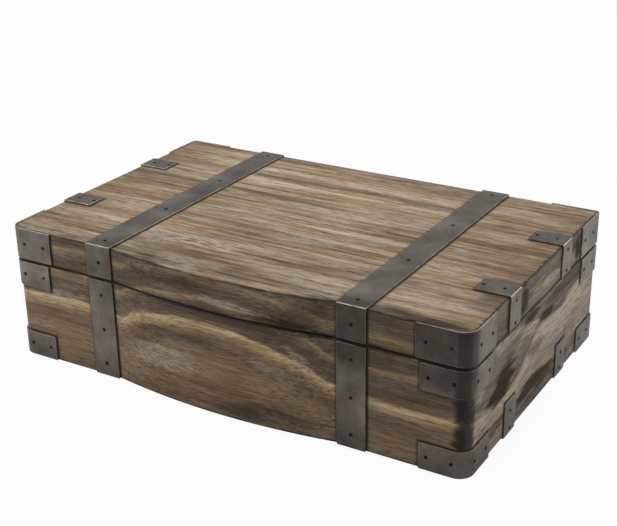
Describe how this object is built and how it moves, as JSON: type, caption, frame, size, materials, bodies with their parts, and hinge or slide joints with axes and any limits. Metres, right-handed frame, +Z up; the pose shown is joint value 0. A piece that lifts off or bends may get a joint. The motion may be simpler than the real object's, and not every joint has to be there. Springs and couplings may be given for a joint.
{
  "type": "watch display case",
  "caption": "Flat-topped burnt-wood chest with iron straps and corner brackets, a hinged lid, and lined, divided places with cushions for wrist watches.",
  "frame": {"origin": "on the surface that the chest stands on, below the middle of its whole plan, bow and hinges included", "axes": "+X along the front from left to right, +Y from front to back, +Z up"},
  "size_m": [0.313, 0.2084, 0.0893],
  "materials": {
    "burnt_wood": "torched, brushed and waxed",
    "strap_iron": "aged, satin, worn bright at the edges",
    "nail_iron": "blackened",
    "hinge_brass": "antique, satin",
    "lining_suede": "short-piled suede cloth",
    "cushion_suede": "short-piled suede cloth"
  },
  "bodies": {
    "case": {"back_panel": "burnt_wood", "base_panel": "burnt_wood", "base_side_brackets_left": "strap_iron", "base_side_brackets_right": "strap_iron", "body_hinge_screws": "hinge_brass", "body_nails": "nail_iron", "body_strap_back_left": "strap_iron", "body_strap_back_right": "strap_iron", "body_strap_front_left": "strap_iron", "body_strap_front_right": "strap_iron", "cross_dividers": "lining_suede", "cushion_back_1": "cushion_suede", "cushion_back_2": "cushion_suede", "cushion_back_3": "cushion_suede", "cushion_back_4": "cushion_suede", "cushion_back_5": "cushion_suede", "cushion_back_6": "cushion_suede", "cushion_front_1": "cushion_suede", "cushion_front_2": "cushion_suede", "cushion_front_3": "cushion_suede", "cushion_front_4": "cushion_suede", "cushion_front_5": "cushion_suede", "cushion_front_6": "cushion_suede", "floor_lining": "lining_suede", "front_panel": "burnt_wood", "hinge_left_body_leaf": "hinge_brass", "hinge_left_pin": "hinge_brass", "hinge_right_body_leaf": "hinge_brass", "hinge_right_pin": "hinge_brass", "left_side_panel": "burnt_wood", "lower_corner_bracket_back_left": "strap_iron", "lower_corner_bracket_back_right": "strap_iron", "lower_corner_bracket_front_left": "strap_iron", "lower_corner_bracket_front_right": "strap_iron", "right_side_panel": "burnt_wood", "row_divider": "lining_suede", "upper_corner_bracket_back_left": "strap_iron", "upper_corner_bracket_back_right": "strap_iron", "upper_corner_bracket_front_left": "strap_iron", "upper_corner_bracket_front_right": "strap_iron", "wall_lining": "lining_suede"},
    "lid": {"hinge_left_lid_leaf": "hinge_brass", "hinge_right_lid_leaf": "hinge_brass", "lid_back_rail": "burnt_wood", "lid_corner_bracket_back_left": "strap_iron", "lid_corner_bracket_back_right": "strap_iron", "lid_corner_bracket_front_left": "strap_iron", "lid_corner_bracket_front_right": "strap_iron", "lid_front_rail": "burnt_wood", "lid_hinge_screws": "hinge_brass", "lid_left_rail": "burnt_wood", "lid_lining_pad": "lining_suede", "lid_nails": "nail_iron", "lid_right_rail": "burnt_wood", "lid_side_brackets_left": "strap_iron", "lid_side_brackets_right": "strap_iron", "lid_strap_left": "strap_iron", "lid_strap_right": "strap_iron", "lid_top_panel": "burnt_wood"}
  },
  "joints": [
    {"name": "lid_hinge", "type": "hinge", "parent": "case", "child": "lid", "pos_m": [0, 0.10119, 0.0665], "axis": [-1, 0, 0], "range_deg": [0, 95]}
  ]
}
